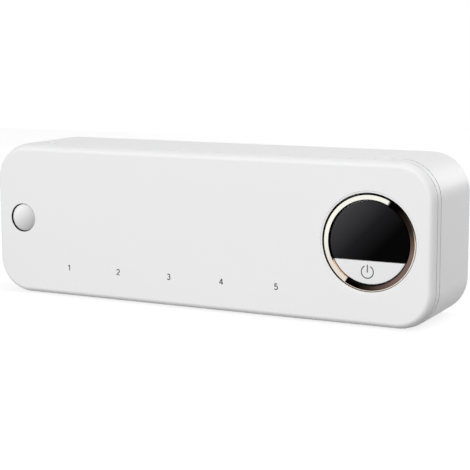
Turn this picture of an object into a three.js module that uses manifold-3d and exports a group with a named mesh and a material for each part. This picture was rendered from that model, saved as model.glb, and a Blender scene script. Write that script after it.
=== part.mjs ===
// Ultraviolet sterilizer for five toothbrushes, hung on a wall or stood on its flat underside.
// Millimetres. X runs along the length, the front faces -Y, Z is up.
// The origin lies on the underside, below the middle of the box. Depths count back from the front plane.

import * as THREE from "three";
import { mergeVertices } from "three/addons/utils/BufferGeometryUtils.js";
import Module from "manifold-3d";

const wasm = await Module();
wasm.setup();

// Overall form
const bodyLength = 260;
const bodyHeight = 84.8;
const bodyDepth = 55.8;
const cornerRadius = 20;
const softEdgeInset = 3.9;
const softEdgeDepth = 9.4;
const backEdgeRadius = 0.9;

// Clearances and tolerances
const gap = 0.3;
const bite = 0.5;
const overrun = 2;
const weld = 0.0001;

// Facet counts
const cornerSteps = 10;
const softEdgeSteps = 6;
const roundSteps = 24;
const largeRoundSteps = 64;
const lensSteps = 32;
const crownSteps = 4;

// Front cover: outer panel and the frame behind it
const panelSeam = 5;
const coverBack = 8.6;
const panelWall = 2.2;
const lipWall = 1.6;
const plateWall = 1.6;
const dishWall = 1.8;
const frameHoleMargin = 0.6;
const holeChamfer = 0.35;

// Housing
const partingGap = 0.5;
const housingWall = 2.4;
const housingFrontBevel = 0.3;
const bayLedgeWidth = 1.6;
const bayLedgeThickness = 1.6;

// Hinge along the top edge
const hingeBehindCover = 4.5;
const hingeBelowTop = 3;
const hingeFromEnd = 30;
const lugWidth = 8;
const lugBelowAxis = 1.5;
const lugClearance = 0.4;
const earWidth = 3.5;
const earRoot = 2;
const pinRadius = 1.1;

// Brush places, counted in from the two ends of the chamber
const brushCount = 5;
const firstBrushInset = 16.45;
const lastBrushInset = 20.75;
const slotWidth = 12;
const slotReachShare = 0.606;
const linerSlotMargin = 0.8;

// Chamber liner, reflector and rack
const leftBayWidth = 32;
const rightBayWidth = 64;
const linerWall = 1.5;
const spaceBehindLiner = 7.7;
const spaceAboveLiner = 7.3;
const reflectorThickness = 0.6;
const reflectorMargin = 3;
const rackHeight = 22;
const rackThickness = 2.5;
const rackSetback = 4;
const rackDepthShare = 0.634;
const rackUpstand = 6;
const notchWidth = 7.4;
const notchDepthShare = 0.565;
const rackLedge = 2;

// Lamp
const lampStripEnd = 9.6;
const lampStripWidth = 10;
const lampStripThickness = 1.6;
const lampDepthShare = 0.562;
const emitterSize = 3.6;
const emitterHeight = 1.5;
const windowEnd = 11.6;
const windowWidth = 12;
const lampPost = 4;

// Bay covers
const bayCoverThickness = 2;

// Display: ring, glass and button share one centre
const ringRadius = 24.5;
const ringWidth = 3.2;
const ringHeight = 3;
const ringBevel = 0.4;
const ringDish = 0.8;
const ringEdge = 0.1;
const ringGap = 0.7;
const ringFromRight = 34.2;
const ringBelowTop = 41.6;
const discGap = 0.35;
const discFace = 1.1;
const chordBelowCentre = 9;
const chordGap = 0.35;
const collarRadius = 24.3;
const collarWall = 2.6;
const ledgeReach = 2.3;
const moduleWidth = 28;
const moduleHeight = 16;
const moduleAboveChord = 4.6;
const ribbonWidth = 14;
const ribbonSlot = 2;

// Power button and its switch
const buttonTravel = 0.8;
const stemRadius = 2;
const stemBelowCentre = 15;
const stemClearance = 0.3;
const guideRadius = 1.25;
const guideSpread = 10;
const guideBelowCentre = 12.8;
const guideLength = 7.6;
const plungerRadius = 1.6;
const plungerLength = 2.3;
const plungerShown = 1;
const switchSize = 6.2;
const switchHeight = 3.2;

// Main board and socket
const boardWidth = 45;
const boardBottom = 5;
const boardBelowTop = 11.8;
const boardThickness = 1.6;
const boardPostRadius = 2.5;
const boardPostMargin = 3.5;
const chipSize = 8;
const chipHeight = 1.2;
const coilSize = 6;
const coilHeight = 3;
const plugHeaderLength = 9;
const plugHeaderHeight = 5;
const socketWidth = 9;
const socketThickness = 3.2;
const socketLength = 7.5;
const socketRecess = 0.5;
const socketWall = 0.4;
const tongueThickness = 0.7;
const tongueInset = 1.4;

// Motion sensor
const lensRadius = 7.55;
const lensGap = 0.45;
const lensCrown = 0.1;
const lensRise = 1;
const lensWall = 1;
const lensFromLeft = 18;
const lensFlangeRadius = 9.2;
const lensFlangeThickness = 1.3;
const canRadius = 4.1;
const canHeight = 4.5;
const sensorBoardWidth = 17;
const sensorBoardHeight = 24;
const sensorBoardThickness = 1.2;

// Cell and its cradle
const cellRadius = 9.2;
const cellLength = 50;
const cellCapRadius = 3;
const cellCapHeight = 1.5;
const cellFromFront = 29;
const cradleWall = 1.8;
const cradleLength = 41;
const cradleLip = 2;

// Magnets and the steel keepers that they pull on
const magnetRadius = 4;
const magnetThickness = 2;
const magnetBossWall = 1.2;
const leftMagnetAbove = 13;
const rightMagnetAbove = 9;
const rightMagnetFromChamber = 7.5;
const keeperThickness = 0.9;

// Rear cover and its screws
const rearCoverThickness = 2.2;
const keyholeFromEnd = 60;
const keyholeBelowTop = 26.8;
const keyholeHeadRadius = 4;
const keyholeNeckRadius = 2.2;
const keyholeRise = 8;
const screwFromCorner = 14.4;
const bossRadius = 4;
const bossLength = 11;
const screwShankRadius = 1.2;
const screwHeadRadius = 2.8;
const screwHeadHeight = 1.5;
const screwLength = 9;
const screwRecess = 0.2;

// Depths and places that follow from the sizes above
const front = -bodyDepth / 2;
const housingFront = coverBack + partingGap;
const plateBack = panelWall + gap + plateWall;
const hingeDepth = coverBack + hingeBehindCover;
const hingeAbove = bodyHeight - hingeBelowTop;
const pinHoleRadius = pinRadius + gap;
const bayCoverFront = housingFront + partingGap;
const bayCoverBack = bayCoverFront + bayCoverThickness;
const ringX = bodyLength / 2 - ringFromRight;
const lensX = lensFromLeft - bodyLength / 2;
const discRadius = ringRadius - ringWidth - discGap;
const discBack = ringHeight;
const collarFront = ringHeight + gap;
const ringAbove = bodyHeight - ringBelowTop;
const lensAbove = ringAbove;
const chordAbove = ringAbove - chordBelowCentre;
const stemAbove = ringAbove - stemBelowCentre;
const guideAbove = ringAbove - guideBelowCentre;
const rearCoverFront = bodyDepth - rearCoverThickness;
const linerBottom = housingWall + gap;
const linerTop = bodyHeight - spaceAboveLiner;
const linerBack = rearCoverFront - spaceBehindLiner;
const chamberLeft = leftBayWidth - bodyLength / 2;
const chamberRight = bodyLength / 2 - rightBayWidth;
const chamberDepth = linerBack - bayCoverFront;
const hingeFromMiddle = bodyLength / 2 - hingeFromEnd;
const slotEnd = housingFront + chamberDepth * slotReachShare;
const rackFront = bayCoverFront + rackSetback;
const rackDepth = chamberDepth * rackDepthShare;
const notchEnd = rackFront + rackDepth * notchDepthShare;
const lampFromFront = bayCoverFront + chamberDepth * lampDepthShare;
const switchBack = bayCoverBack + gap + plungerShown + gap + switchHeight;
const boardFront = switchBack + gap;
const boardBack = boardFront + boardThickness;
const boardTop = bodyHeight - boardBelowTop;
const firstBrush = chamberLeft + firstBrushInset;
const lastBrush = chamberRight - lastBrushInset;
const brushPlaces = Array.from(
  { length: brushCount },
  (_, k) => firstBrush + ((lastBrush - firstBrush) * k) / (brushCount - 1),
);
const sides = [
  ["left", -1],
  ["right", 1],
];

// Materials
function finish(color, roughness, metalness) {
  return new THREE.MeshStandardMaterial({ color, roughness, metalness });
}
const whiteShell = finish(0xf2f2f2, 0.4, 0);
const whiteInner = finish(0xe9ebec, 0.5, 0);
const champagneMetal = finish(0xd9c3ad, 0.2, 1);
const blackGlass = finish(0x0a0a0b, 0.08, 0);
const milkyLens = finish(0xe4e4e4, 0.45, 0);
const steel = finish(0xb8babd, 0.3, 1);
const mirrorSheet = finish(0xd6d9dc, 0.1, 1);
const clearWindow = finish(0xdfe8ee, 0.05, 0);
const boardGreen = finish(0x1d5a3c, 0.6, 0);
const darkPlastic = finish(0x26282b, 0.5, 0);
const emitterGlass = finish(0xcfc6e6, 0.2, 0);
const cellSleeve = finish(0x5f8fb5, 0.45, 0);

// A closed geometry becomes a solid that can be joined and cut
function solid(geometry) {
  const bare = geometry.index ? geometry.toNonIndexed() : geometry.clone();
  bare.deleteAttribute("normal");
  bare.deleteAttribute("uv");
  const merged = mergeVertices(bare, weld);
  const vertProperties = merged.attributes.position.array;
  const triVerts = new Uint32Array(merged.index.array);
  return new wasm.Manifold(new wasm.Mesh({ numProp: 3, vertProperties, triVerts }));
}

function join(...solids) {
  return solids.reduce((whole, next) => whole.add(next));
}

function cut(whole, ...tools) {
  return tools.reduce((rest, tool) => rest.subtract(tool), whole);
}

// A box between two places along the length, two depths and two heights
function block(left, right, near, far, low, high) {
  const box = new THREE.BoxGeometry(right - left, far - near, high - low);
  box.translate((left + right) / 2, front + (near + far) / 2, (low + high) / 2);
  return solid(box);
}

// A flat outline in length and height, pushed back from one depth to another
function slab(outline, near, far) {
  const shape = new THREE.Shape(outline);
  const geometry = new THREE.ExtrudeGeometry(shape, { depth: far - near, bevelEnabled: false });
  geometry.rotateX(Math.PI / 2);
  geometry.translate(0, front + far, 0);
  return solid(geometry);
}

// A flat outline in length and depth, pushed up from one height to another
function column(outline, low, high) {
  const shape = new THREE.Shape(outline.map((p) => new THREE.Vector2(p.x, front + p.y)));
  const geometry = new THREE.ExtrudeGeometry(shape, { depth: high - low, bevelEnabled: false });
  geometry.translate(0, 0, low);
  return solid(geometry);
}

// A rod along the length, or upright
function rodAlong(radius, left, right, depthAt, above, steps = roundSteps) {
  const rod = new THREE.CylinderGeometry(radius, radius, right - left, steps);
  rod.rotateZ(Math.PI / 2);
  rod.translate((left + right) / 2, front + depthAt, above);
  return solid(rod);
}

function rodUpright(radius, x, depthAt, low, high, steps = roundSteps) {
  const rod = new THREE.CylinderGeometry(radius, radius, high - low, steps);
  rod.rotateX(Math.PI / 2);
  rod.translate(x, front + depthAt, (low + high) / 2);
  return solid(rod);
}

// A profile of radius and depth, turned about an axis that runs from front to back
function turned(profile, x, above, steps = roundSteps) {
  const points = profile.map(([radius, depthAt]) => new THREE.Vector2(radius, front + depthAt));
  if (THREE.ShapeUtils.area(points) < 0) points.reverse();
  if (points.some((p) => p.x > 0) && points[0].x > 0) points.push(points[0].clone());
  const geometry = new THREE.LatheGeometry(points, steps);
  geometry.translate(x, 0, above);
  return solid(geometry);
}

function disc(radius, x, above, near, far, steps = roundSteps) {
  const profile = [
    [0, near],
    [radius, near],
    [radius, far],
    [0, far],
  ];
  return turned(profile, x, above, steps);
}

// Points of an arc, ends included
function arc(x, y, radius, from, to, steps) {
  const points = [];
  for (let k = 0; k <= steps; k += 1) {
    const angle = from + ((to - from) * k) / steps;
    points.push(new THREE.Vector2(x + radius * Math.cos(angle), y + radius * Math.sin(angle)));
  }
  return points;
}

// The outline seen from the front, drawn in by an inset
function bodyOutline(inset) {
  const radius = cornerRadius - inset;
  const x = bodyLength / 2 - cornerRadius;
  const low = cornerRadius;
  const high = bodyHeight - cornerRadius;
  const quarter = Math.PI / 2;
  return [
    ...arc(x, low, radius, -quarter, 0, cornerSteps),
    ...arc(x, high, radius, 0, quarter, cornerSteps),
    ...arc(-x, high, radius, quarter, 2 * quarter, cornerSteps),
    ...arc(-x, low, radius, 2 * quarter, 3 * quarter, cornerSteps),
  ];
}

// A skin through that outline at several depths, closed flat at both ends
function loft(stations) {
  const rings = stations.map(([depthAt, inset]) =>
    bodyOutline(inset).map((p) => [p.x, front + depthAt, p.y]),
  );
  const count = rings[0].length;
  const index = [];
  for (let ring = 0; ring + 1 < rings.length; ring += 1) {
    for (let k = 0; k < count; k += 1) {
      const a = ring * count + k;
      const b = ring * count + ((k + 1) % count);
      index.push(a, a + count, b + count, a, b + count, b);
    }
  }
  const last = (rings.length - 1) * count;
  for (let k = 1; k + 1 < count; k += 1) {
    index.push(0, k, k + 1);
    index.push(last, last + k + 1, last + k);
  }
  const geometry = new THREE.BufferGeometry();
  geometry.setAttribute("position", new THREE.Float32BufferAttribute(rings.flat(2), 3));
  geometry.setIndex(index);
  return solid(geometry);
}

// How far the soft front edge has drawn in at a depth: a quarter of an ellipse
function softInset(depthAt) {
  const share = Math.max(0, 1 - depthAt / softEdgeDepth);
  return softEdgeInset * (1 - Math.sqrt(1 - share * share));
}

function softStations(near, far) {
  const angleAt = (depthAt) => Math.acos(Math.max(0, 1 - depthAt / softEdgeDepth));
  const from = angleAt(near);
  const to = angleAt(far);
  const stations = [];
  for (let k = 0; k <= softEdgeSteps; k += 1) {
    const angle = from + ((to - from) * k) / softEdgeSteps;
    const depthAt = softEdgeDepth * (1 - Math.cos(angle));
    stations.push([depthAt, softEdgeInset * (1 - Math.sin(angle))]);
  }
  return stations;
}

// A slot that runs back from the open front and ends round
function slotOutline(x, width, reach, near) {
  const radius = width / 2;
  const end = reach - radius;
  return [
    new THREE.Vector2(x - radius, near),
    new THREE.Vector2(x + radius, near),
    ...arc(x, end, radius, 0, Math.PI, cornerSteps),
  ];
}

const assembly = new THREE.Group();
const coverGroup = new THREE.Group();
assembly.add(coverGroup);

// A finished solid joins the assembly as a named mesh
function place(name, made, material, group = assembly) {
  const shape = made.getMesh();
  const geometry = new THREE.BufferGeometry();
  geometry.setAttribute("position", new THREE.BufferAttribute(shape.vertProperties, 3));
  geometry.setIndex(new THREE.BufferAttribute(shape.triVerts, 1));
  const flat = geometry.toNonIndexed();
  flat.computeVertexNormals();
  const mesh = new THREE.Mesh(flat, material);
  mesh.name = name;
  group.add(mesh);
  return mesh;
}

// A round hole through the cover with a small chamfer at its mouth
function mouth(radius, x, above) {
  const profile = [
    [0, -overrun],
    [radius + holeChamfer + overrun, -overrun],
    [radius, holeChamfer],
    [radius, coverBack],
    [0, coverBack],
  ];
  return turned(profile, x, above, largeRoundSteps);
}

const ringHoleRadius = ringRadius + ringGap;
const lensHoleRadius = lensRadius + lensGap;

// Front cover, outer panel: a shallow dish with a soft edge and two round mouths
function coverPanel() {
  const lipInset = softInset(panelWall) + lipWall;
  const shell = loft(softStations(0, panelSeam));
  const pocket = slab(bodyOutline(lipInset), panelWall, panelSeam + overrun);
  const ringMouth = mouth(ringHoleRadius, ringX, ringAbove);
  const lensMouth = mouth(lensHoleRadius, lensX, lensAbove);
  return cut(shell, pocket, ringMouth, lensMouth);
}

// The two magnets sit in round bosses behind the cover's frame
const magnetBack = coverBack - gap;
const magnetFront = magnetBack - magnetThickness;
const magnetPlaces = {
  left: [lensX, leftMagnetAbove],
  right: [chamberRight + rightMagnetFromChamber, rightMagnetAbove],
};

function magnetBoss([x, above]) {
  return disc(magnetRadius + gap + magnetBossWall, x, above, plateBack - bite, magnetBack);
}

function magnetPocket([x, above]) {
  return disc(magnetRadius + gap, x, above, magnetFront - gap, magnetBack + overrun);
}

// A hinge lug reaches back from the frame's rim to the axis, flush with the top face
function hingeLug(side) {
  const middle = side * hingeFromMiddle;
  const left = middle - lugWidth / 2;
  const right = middle + lugWidth / 2;
  const low = hingeAbove - lugBelowAxis;
  const arm = block(left, right, coverBack - bite, hingeDepth, low, bodyHeight);
  const barrel = rodAlong(hingeBelowTop, left, right, hingeDepth, hingeAbove);
  return join(arm, barrel);
}

function hingeBore(side) {
  const middle = side * hingeFromMiddle;
  const half = lugWidth / 2 + lugClearance + earWidth + overrun;
  return rodAlong(pinHoleRadius, middle - half, middle + half, hingeDepth, hingeAbove);
}

// Front cover, frame: a rim in line with the panel's edge, and a dish that plugs into the panel
function coverFrame() {
  const dishInset = softInset(panelWall) + lipWall + gap;
  const rim = loft(softStations(panelSeam + gap, coverBack));
  const dish = slab(bodyOutline(dishInset), panelWall + gap, coverBack);
  const hollow = slab(bodyOutline(dishInset + dishWall), plateBack, coverBack + overrun);
  const ringHole = disc(ringHoleRadius + frameHoleMargin, ringX, ringAbove, 0, coverBack, largeRoundSteps);
  const lensHole = disc(lensHoleRadius + frameHoleMargin, lensX, lensAbove, 0, coverBack, largeRoundSteps);
  const bosses = sides.map(([name]) => magnetBoss(magnetPlaces[name]));
  const pockets = sides.map(([name]) => magnetPocket(magnetPlaces[name]));
  const lugs = sides.map(([, side]) => hingeLug(side));
  const bores = sides.map(([, side]) => hingeBore(side));
  const shell = join(cut(join(rim, dish), hollow), ...bosses, ...lugs);
  return cut(shell, ringHole, lensHole, ...pockets, ...bores);
}

// The room that the hinge takes in the pieces round it
function hingeRoom(side, half, around, near) {
  const middle = side * hingeFromMiddle;
  const low = hingeAbove - hingeBelowTop - around;
  const far = hingeDepth + hingeBelowTop + around;
  return block(middle - half, middle + half, near, far, low, bodyHeight + overrun);
}

// The top front edge is rounded about the hinge axis, so the cover's back can swing over it
function hingeRounding() {
  const half = bodyLength / 2 + overrun;
  const near = housingFront - overrun;
  const corner = block(-half, half, near, hingeDepth, hingeAbove, bodyHeight + overrun);
  const radius = hingeDepth - housingFront;
  return cut(corner, rodAlong(radius, -half, half, hingeDepth, hingeAbove, largeRoundSteps));
}

function hingeEars(side) {
  const inner = lugWidth / 2 + lugClearance;
  return [-1, 1].map((hand) => {
    const a = side * hingeFromMiddle + hand * inner;
    const b = a + hand * earWidth;
    const left = Math.min(a, b);
    const right = Math.max(a, b);
    const barrel = rodAlong(hingeBelowTop, left, right, hingeDepth, hingeAbove);
    const top = bodyHeight - housingWall / 2;
    const far = hingeDepth + hingeBelowTop;
    const root = block(left, right, hingeDepth - earRoot, far, hingeAbove, top);
    return join(barrel, root);
  });
}

// Screw places lie on the diagonals of the rounded corners
function cornerPlaces() {
  const share = Math.SQRT1_2;
  const x = bodyLength / 2 - cornerRadius + screwFromCorner * share;
  const low = cornerRadius - screwFromCorner * share;
  const high = bodyHeight - low;
  return [
    [-x, low],
    [x, low],
    [-x, high],
    [x, high],
  ];
}

// A ledge inside the wall carries each bay cover
function bayLedge() {
  const near = bayCoverBack + gap;
  const far = near + bayLedgeThickness;
  const outer = slab(bodyOutline(housingWall - bite), near, far);
  const inner = slab(bodyOutline(housingWall + bayLedgeWidth), near - overrun, far + overrun);
  const left = chamberLeft - gap;
  const right = chamberRight + gap;
  const middle = block(left, right, near - overrun, far + overrun, -overrun, bodyHeight + overrun);
  return cut(outer, inner, middle);
}

const socketDepth = boardBack + gap + socketThickness / 2;

function socketOutline(margin) {
  const radius = socketThickness / 2 + margin;
  const x = socketWidth / 2 - socketThickness / 2;
  return [
    ...arc(ringX + x, socketDepth, radius, -Math.PI / 2, Math.PI / 2, cornerSteps),
    ...arc(ringX - x, socketDepth, radius, Math.PI / 2, (3 * Math.PI) / 2, cornerSteps),
  ];
}

// Housing: one moulded wall all round, open at the front and closed behind by the rear cover
function housing() {
  const lean = Math.SQRT1_2;
  const shell = loft([
    [housingFront, housingFrontBevel],
    [housingFront + housingFrontBevel, 0],
    [bodyDepth - backEdgeRadius, 0],
    [bodyDepth - backEdgeRadius * (1 - lean), backEdgeRadius * (1 - lean)],
    [bodyDepth, backEdgeRadius],
  ]);
  const inside = slab(bodyOutline(housingWall), housingFront - overrun, bodyDepth + overrun);
  const bosses = cornerPlaces().map(([x, above]) =>
    disc(bossRadius, x, above, rearCoverFront - gap - bossLength, rearCoverFront - gap),
  );
  const pilots = cornerPlaces().map(([x, above]) =>
    disc(screwShankRadius + gap, x, above, bodyDepth - screwLength - bite, bodyDepth),
  );
  const ears = sides.flatMap(([, side]) => hingeEars(side));
  const half = lugWidth / 2 + lugClearance;
  const notches = sides.map(([, side]) => hingeRoom(side, half, lugClearance, housingFront - overrun));
  const bores = sides.map(([, side]) => hingeBore(side));
  const slots = brushPlaces.map((x) =>
    column(slotOutline(x, slotWidth, slotEnd, 0), -overrun, housingWall + gap),
  );
  const socketHole = column(socketOutline(gap), -overrun, housingWall + gap);
  const walls = cut(shell, inside, hingeRounding());
  const whole = join(walls, bayLedge(), ...bosses);
  const roomy = cut(whole, ...notches);
  return cut(join(roomy, ...ears), ...pilots, ...bores, ...slots, socketHole);
}

// Rear cover: a flat plate let into the housing, with two keyholes to hang it by
function keyhole(side) {
  const x = side * (bodyLength / 2 - keyholeFromEnd);
  const keyholeAbove = bodyHeight - keyholeBelowTop;
  const near = rearCoverFront - overrun;
  const far = bodyDepth + overrun;
  const neckTop = keyholeAbove + keyholeRise;
  const head = disc(keyholeHeadRadius, x, keyholeAbove, near, far);
  const neck = block(x - keyholeNeckRadius, x + keyholeNeckRadius, near, far, keyholeAbove, neckTop);
  const end = disc(keyholeNeckRadius, x, neckTop, near, far);
  return join(head, neck, end);
}

function screwProfile(margin) {
  const back = bodyDepth - screwRecess;
  return [
    [0, bodyDepth - screwLength - margin],
    [screwShankRadius + margin, bodyDepth - screwLength - margin],
    [screwShankRadius + margin, back - screwHeadHeight - margin],
    [screwHeadRadius + margin, back],
    [screwHeadRadius + margin, back + (margin > 0 ? overrun : 0)],
    [0, back + (margin > 0 ? overrun : 0)],
  ];
}

function rearCover() {
  const plate = slab(bodyOutline(housingWall + gap), rearCoverFront, bodyDepth);
  const holes = cornerPlaces().map(([x, above]) => turned(screwProfile(gap), x, above));
  return cut(plate, keyhole(-1), keyhole(1), ...holes);
}

// Chamber liner: a tray that is open at the front, with a valance in front of the lamp
function chamberLiner() {
  const low = linerBottom;
  const near = bayCoverFront;
  const tray = block(chamberLeft, chamberRight, near, linerBack, low, linerTop);
  const left = chamberLeft + linerWall;
  const right = chamberRight - linerWall;
  const insideFar = linerBack - linerWall;
  const inside = block(left, right, near - overrun, insideFar, low + linerWall, linerTop - linerWall);
  const valanceTop = bodyHeight - housingWall - gap;
  const valance = block(chamberLeft, chamberRight, near, near + linerWall, linerTop - bite, valanceTop);
  const half = lugWidth / 2 + lugClearance + earWidth + gap;
  const rooms = sides.map(([, side]) => hingeRoom(side, half, gap, 0));
  const slots = brushPlaces.map((x) => {
    const outline = slotOutline(x, slotWidth + linerSlotMargin, slotEnd, 0);
    return column(outline, 0, low + linerWall + bite);
  });
  const windowHole = block(
    firstBrush - windowEnd,
    lastBrush + windowEnd,
    lampFromFront - windowWidth / 2,
    lampFromFront + windowWidth / 2,
    linerTop - linerWall - overrun,
    linerTop + overrun,
  );
  const ledges = [
    [left - bite, left + rackLedge],
    [right - rackLedge, right + bite],
  ].map(([a, b]) => {
    const top = rackHeight - gap;
    return block(a, b, rackFront, rackFront + rackDepth, top - rackLedge, top);
  });
  const stripLeft = firstBrush - lampStripEnd;
  const stripRight = lastBrush + lampStripEnd;
  const posts = [stripLeft, stripRight - lampPost].map((a) => {
    const postNear = lampFromFront + windowWidth / 2 + gap;
    const top = linerTop + gap + emitterHeight;
    return block(a, a + lampPost, postNear, postNear + lampPost, linerTop - bite, top);
  });
  const hollow = cut(tray, inside);
  return cut(join(hollow, valance, ...ledges, ...posts), ...rooms, ...slots, windowHole);
}

// Reflector: a bright sheet against the back of the chamber
function reflector() {
  const near = linerBack - linerWall - gap - reflectorThickness;
  const left = chamberLeft + linerWall + reflectorMargin;
  const right = chamberRight - linerWall - reflectorMargin;
  const low = rackHeight + rackThickness + rackUpstand + reflectorMargin;
  const high = linerTop - linerWall - reflectorMargin;
  return block(left, right, near, near + reflectorThickness, low, high);
}

// Brush rack: a comb whose notches hold the necks, with the heads above it
function brushRack() {
  const left = chamberLeft + linerWall + gap;
  const right = chamberRight - linerWall - gap;
  const far = rackFront + rackDepth;
  const top = rackHeight + rackThickness;
  const shelf = block(left, right, rackFront, far, rackHeight, top);
  const upstand = block(left, right, far - rackThickness, far, top - bite, top + rackUpstand);
  const notches = brushPlaces.map((x) =>
    column(slotOutline(x, notchWidth, notchEnd, 0), rackHeight - overrun, top + overrun),
  );
  return cut(join(shelf, upstand), ...notches);
}

// Lamp strip, its emitters and the window below them
const emitterBottom = linerTop + gap;
const stripBottom = emitterBottom + emitterHeight + gap;

function lampStrip() {
  const near = lampFromFront - lampStripWidth / 2;
  const far = lampFromFront + windowWidth / 2 + gap + lampPost;
  const top = stripBottom + lampStripThickness;
  return block(firstBrush - lampStripEnd, lastBrush + lampStripEnd, near, far, stripBottom, top);
}

function lampWindow() {
  const left = firstBrush - windowEnd + gap;
  const right = lastBrush + windowEnd - gap;
  const near = lampFromFront - windowWidth / 2 + gap;
  const far = lampFromFront + windowWidth / 2 - gap;
  return block(left, right, near, far, linerTop - linerWall, linerTop);
}

function emitter() {
  const box = new THREE.BoxGeometry(emitterSize, emitterSize, emitterHeight);
  return solid(box);
}

// Bay covers close the two bays beside the chamber and carry what shows through the front cover
function bayCoverPlate(left, right) {
  const plate = slab(bodyOutline(housingWall + gap), bayCoverFront, bayCoverBack);
  const side = block(left, right, 0, bodyDepth, -overrun, bodyHeight + overrun);
  const half = lugWidth / 2 + lugClearance + earWidth + gap;
  const rooms = sides.map(([, hand]) => hingeRoom(hand, half, gap, 0));
  return cut(plate.intersect(side), ...rooms);
}

function keeperRecess([x, above]) {
  return disc(magnetRadius + gap, x, above, 0, bayCoverFront + keeperThickness + gap);
}

function leftBayCover() {
  const plate = bayCoverPlate(-bodyLength, chamberLeft - gap);
  const canHole = disc(canRadius + 2 * gap, lensX, lensAbove, 0, bodyDepth);
  return cut(plate, canHole, keeperRecess(magnetPlaces.left));
}

function boardPosts() {
  const x = boardWidth / 2 - boardPostMargin;
  const low = boardBottom + boardPostMargin;
  const high = boardTop - boardPostMargin;
  return [-x, x].flatMap((dx) =>
    [low, high].map((above) =>
      disc(boardPostRadius, ringX + dx, above, bayCoverBack - bite, boardFront - gap),
    ),
  );
}

function rightBayCover() {
  const plate = bayCoverPlate(chamberRight + gap, bodyLength);
  const inner = collarRadius - collarWall;
  const collar = turned(
    [
      [inner, collarFront],
      [collarRadius, collarFront],
      [collarRadius, bayCoverFront + bite],
      [inner, bayCoverFront + bite],
    ],
    ringX,
    ringAbove,
    largeRoundSteps,
  );
  const ledgeRing = turned(
    [
      [inner - ledgeReach, collarFront],
      [inner + bite, collarFront],
      [inner + bite, collarFront + rackLedge],
      [inner - ledgeReach, collarFront + rackLedge],
    ],
    ringX,
    ringAbove,
    largeRoundSteps,
  );
  const aboveChord = block(0, bodyLength, 0, bodyDepth, chordAbove + chordGap + gap, bodyHeight);
  const ledge = ledgeRing.intersect(aboveChord);
  const far = bayCoverBack + overrun;
  const stemHole = disc(stemRadius + stemClearance, ringX, stemAbove, 0, far);
  const guideHoles = [-1, 1].map((hand) =>
    disc(guideRadius + stemClearance, ringX + hand * guideSpread, guideAbove, 0, far),
  );
  const ribbonLow = chordAbove + moduleAboveChord;
  const ribbonHole = block(
    ringX - ribbonWidth / 2,
    ringX + ribbonWidth / 2,
    0,
    far,
    ribbonLow,
    ribbonLow + ribbonSlot,
  );
  const whole = join(plate, collar, ledge, ...boardPosts());
  return cut(whole, stemHole, ...guideHoles, ribbonHole, keeperRecess(magnetPlaces.right));
}

// Display ring: a bevelled metal bezel that dips towards the glass
function displayRing() {
  const inner = ringRadius - ringWidth;
  const profile = [
    [ringRadius, ringHeight],
    [ringRadius, ringEdge + ringBevel],
    [ringRadius - ringBevel, ringEdge],
    [inner + ringBevel / 2, ringEdge + ringDish],
    [inner, ringEdge + ringDish + ringBevel / 2],
    [inner, ringHeight],
  ];
  return turned(profile, ringX, ringAbove, largeRoundSteps);
}

// The glass and the button are the two parts of one disc, either side of a chord
function discPart(low, high) {
  const whole = disc(discRadius, ringX, ringAbove, discFace, discBack, largeRoundSteps);
  return whole.intersect(block(0, bodyLength, 0, bodyDepth, low, high));
}

function displayModule() {
  const half = moduleWidth / 2;
  const low = chordAbove + moduleAboveChord;
  const near = collarFront;
  return block(ringX - half, ringX + half, near, bayCoverFront - gap, low, low + moduleHeight);
}

function powerButton() {
  const face = discPart(0, chordAbove - chordGap / 2);
  const stem = disc(stemRadius, ringX, stemAbove, discBack - bite, bayCoverBack);
  const guides = [-1, 1].map((hand) => {
    const x = ringX + hand * guideSpread;
    return disc(guideRadius, x, guideAbove, discBack - bite, discBack + guideLength);
  });
  return join(face, stem, ...guides);
}

// Power switch: the plunger moves with the button and dips into the switch's body
const plungerFront = bayCoverBack + gap;
const switchFront = switchBack - switchHeight;

function switchPlunger() {
  return disc(plungerRadius, ringX, stemAbove, plungerFront, plungerFront + plungerLength);
}

function switchBody() {
  const half = switchSize / 2;
  const low = stemAbove - half;
  const high = stemAbove + half;
  const bodyBlock = block(ringX - half, ringX + half, switchFront, switchBack, low, high);
  const boreEnd = plungerFront + plungerLength + buttonTravel + gap;
  return cut(bodyBlock, disc(plungerRadius + gap, ringX, stemAbove, 0, boreEnd));
}

// Main board with its larger parts
function mainBoard() {
  const half = boardWidth / 2;
  const far = boardBack - bite / 2;
  const sheet = block(ringX - half, ringX + half, boardFront, boardBack, boardBottom, boardTop);
  const middle = (boardBottom + boardTop) / 2;
  const chipHalf = chipSize / 2;
  const chip = block(
    ringX - chipHalf,
    ringX + chipHalf,
    far,
    boardBack + chipHeight,
    middle - chipHalf,
    middle + chipHalf,
  );
  const coilX = ringX - half / 2;
  const coil = block(
    coilX - coilSize / 2,
    coilX + coilSize / 2,
    far,
    boardBack + coilHeight,
    middle - 2 * coilSize,
    middle - coilSize,
  );
  const headerTop = boardTop - boardPostMargin - boardPostRadius;
  const header = block(
    ringX - half + boardPostMargin,
    ringX - half + boardPostMargin + plugHeaderLength,
    far,
    boardBack + plugHeaderHeight,
    headerTop - 2 * plugHeaderHeight,
    headerTop - plugHeaderHeight,
  );
  return join(sheet, chip, coil, header);
}

// Charging socket: a thin shell with a tongue, mouth down through the underside
function chargingSocket() {
  const top = socketRecess + socketLength;
  const shell = column(socketOutline(0), socketRecess, top);
  const cavity = column(socketOutline(-socketWall), 0, top - 2 * socketWall);
  const half = socketWidth / 2 - tongueInset;
  const tongue = block(
    ringX - half,
    ringX + half,
    socketDepth - tongueThickness / 2,
    socketDepth + tongueThickness / 2,
    socketRecess + tongueInset,
    top - socketWall,
  );
  return join(cut(shell, cavity), tongue);
}

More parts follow.
